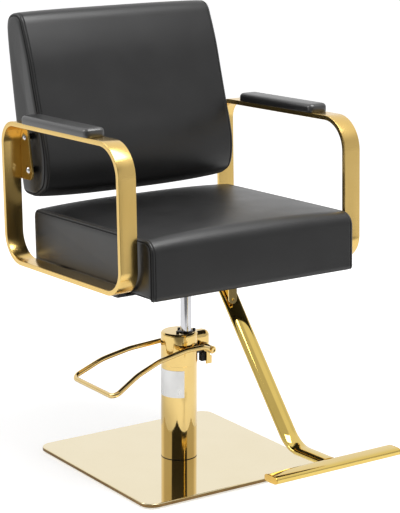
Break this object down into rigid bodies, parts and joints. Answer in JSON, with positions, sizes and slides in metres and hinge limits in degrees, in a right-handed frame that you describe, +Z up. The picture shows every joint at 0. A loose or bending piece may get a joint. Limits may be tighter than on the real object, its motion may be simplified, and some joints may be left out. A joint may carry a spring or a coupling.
{
  "type": "hairdressing chair",
  "caption": "Padded salon chair between two flat bar arm loops, on a pedal-pumped hydraulic column with a square base and a footrest.",
  "frame": {"origin": "on the floor, under the centre of the base plate, which is the column's axis", "axes": "+Z up, -Y is the way the seated person faces, +X to the viewer's right from the chair's front"},
  "size_m": [0.602, 0.8723, 0.9636],
  "materials": {
    "polished_gold": "polished",
    "satin_gold": "satin",
    "pedal_gold": "polished",
    "steel": "satin",
    "black_steel": "satin",
    "chrome": "polished",
    "cast_head": "matte",
    "rubber": "matte",
    "bronze": "satin",
    "upholstery": "satin",
    "moulded_pad": "satin",
    "plywood": "matte",
    "dust_cloth": "matte",
    "label_metal": "satin"
  },
  "bodies": {
    "base": {"base_plate": "polished_gold", "base_feet": "rubber", "column_casing": "polished_gold", "column_foot": "steel", "column_bolts": "steel", "ram_cylinder": "steel", "cylinder_plug": "black_steel", "oil_pipe": "bronze", "head_casting": "cast_head", "head_cover": "polished_gold", "cover_screws": "black_steel", "gland_nut": "black_steel", "gland_seal": "rubber", "pump_barrel": "steel", "pedal_bushes": "bronze", "stop_buffer": "rubber", "pedal_spring": "black_steel", "column_label": "label_metal"},
    "pedal": {"pedal_shaft": "steel", "pedal_shaft_screws": "pedal_gold", "pedal_loop": "pedal_gold", "pedal_cam": "steel", "stop_tab": "pedal_gold"},
    "plunger": {"pump_plunger": "chrome"},
    "piston": {"ram_piston": "steel", "piston_seals": "rubber"},
    "seat": {"ram_rod": "chrome", "rod_circlip": "black_steel", "mount_hub": "black_steel", "mount_plate": "black_steel", "mount_bolts": "steel", "seat_board": "plywood", "seat_t_nuts": "steel", "seat_cushion": "upholstery", "seat_dust_cover": "dust_cloth", "arm_loop_left": "satin_gold", "arm_loop_right": "satin_gold", "arm_lugs": "black_steel", "arm_bolts": "steel", "arm_pad_left": "moulded_pad", "arm_pad_right": "moulded_pad", "arm_pad_screws": "steel", "back_bracket_left": "satin_gold", "back_bracket_right": "satin_gold", "back_screws": "chrome", "back_spacers": "black_steel", "back_inserts": "steel", "back_board": "plywood", "back_cushion": "upholstery", "footrest_bracket": "pedal_gold", "footrest_stem": "pedal_gold", "footrest_bar": "pedal_gold", "footrest_end_caps": "pedal_gold", "footrest_screws": "steel"}
  },
  "joints": [
    {"name": "pedal", "type": "hinge", "parent": "base", "child": "pedal", "pos_m": [0.054, 0, 0.253], "axis": [0, -1, 0], "range_deg": [0, 22], "stiffness_Nm_per_rad": 4, "springref_deg": -28.65},
    {"name": "pump_stroke", "type": "slide", "parent": "base", "child": "plunger", "axis": [0, 0, -1], "range_m": [0, 0.0105]},
    {"name": "lift", "type": "slide", "parent": "base", "child": "piston", "axis": [0, 0, 1], "range_m": [-0.08, 0.08]},
    {"name": "swivel", "type": "hinge", "parent": "piston", "child": "seat", "pos_m": [0.008, -0.014, 0.3], "axis": [0, 0, 1], "continuous": true}
  ],
  "couplings": [
    {"joint": "pump_stroke", "follows": "pedal", "m_per_rad": 0.026}
  ]
}
